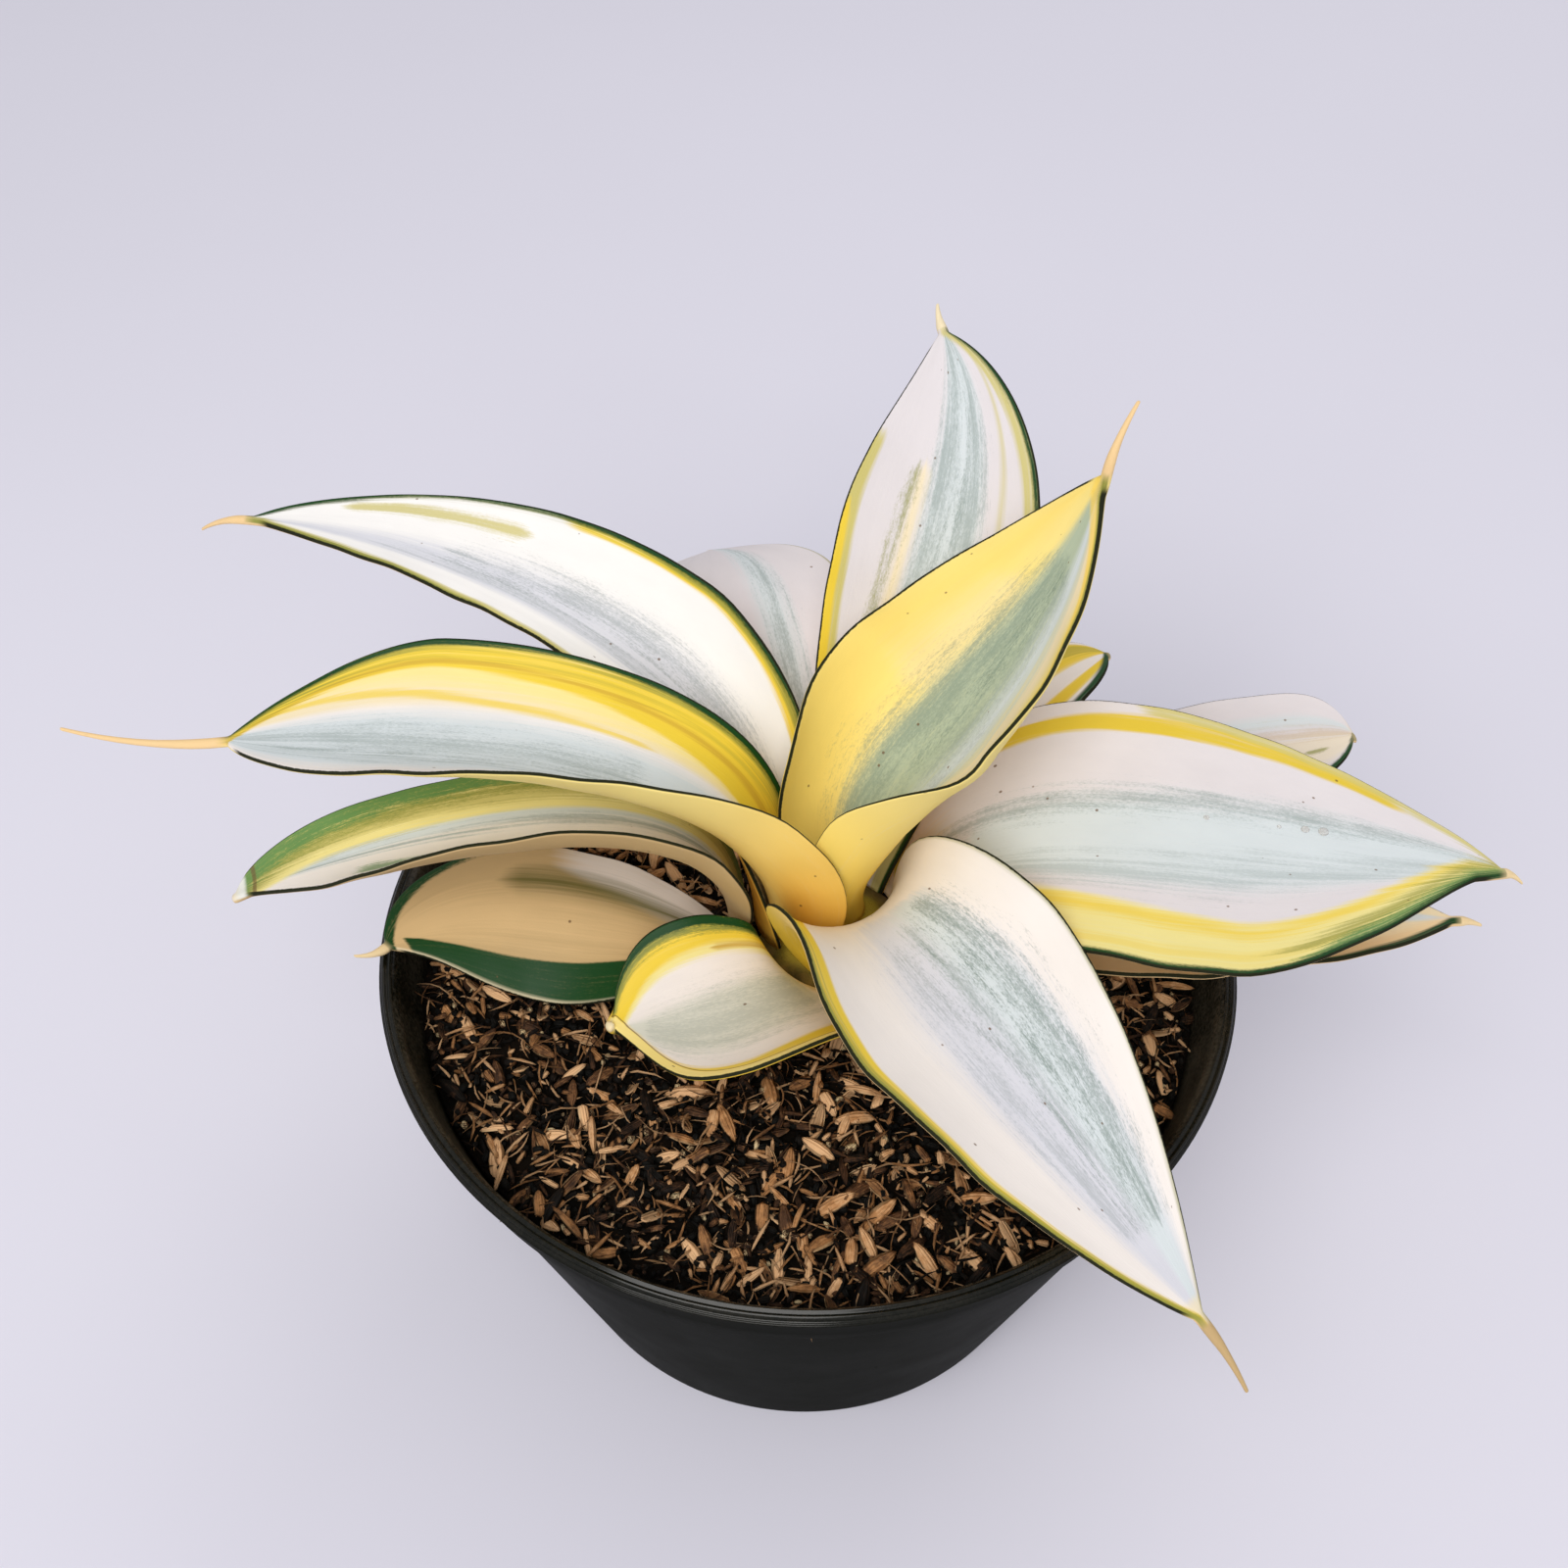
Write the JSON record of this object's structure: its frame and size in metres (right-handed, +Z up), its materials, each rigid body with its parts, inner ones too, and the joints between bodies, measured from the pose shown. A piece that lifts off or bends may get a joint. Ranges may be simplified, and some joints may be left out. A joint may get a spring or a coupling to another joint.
{
  "type": "potted splash rose snake plant",
  "caption": "Compact variegated snake plant with broad cream, yellow and grey-green leaves, rooted in husk-strewn mix in a round dark nursery pot.",
  "frame": {"origin": "middle of the pot's underside, on the surface that it stands on", "axes": "+Z up, -Y towards the side from which the plant is seen, +X to the right of that view, along the longest leaves"},
  "size_m": [0.2432, 0.1618, 0.174],
  "materials": {
    "pot": "satin moulded black plastic with a faint green cast",
    "soil": "dark crumbly potting mix with tan rice husks",
    "crown": "corky stem dusted with mix",
    "leaf_yellow": "smooth waxy leaf, yellow and cream with a grey-green stripe and a dark margin",
    "leaf_cream": "smooth waxy leaf, creamy white with a blue-grey stripe, yellow streaks and a dark margin",
    "leaf_mixed": "smooth waxy leaf, green and yellow along one margin, cream and grey inside",
    "leaf_tan": "smooth waxy leaf, tan and peach with a dark green margin"
  },
  "bodies": {
    "root": {"pot": "pot", "soil": "soil", "crown": "crown", "leaf_heart_right": "leaf_yellow", "leaf_heart_left": "leaf_yellow", "leaf_back_upright": "leaf_cream", "leaf_back_left_long": "leaf_cream", "leaf_back_left_short": "leaf_cream", "leaf_front_right": "leaf_cream", "leaf_right": "leaf_cream", "leaf_low_left": "leaf_mixed", "leaf_resting_left": "leaf_tan", "leaf_front_small": "leaf_mixed", "leaf_under_right": "leaf_tan", "leaf_back_right": "leaf_cream", "leaf_back_right_short": "leaf_mixed"}
  },
  "joints": []
}
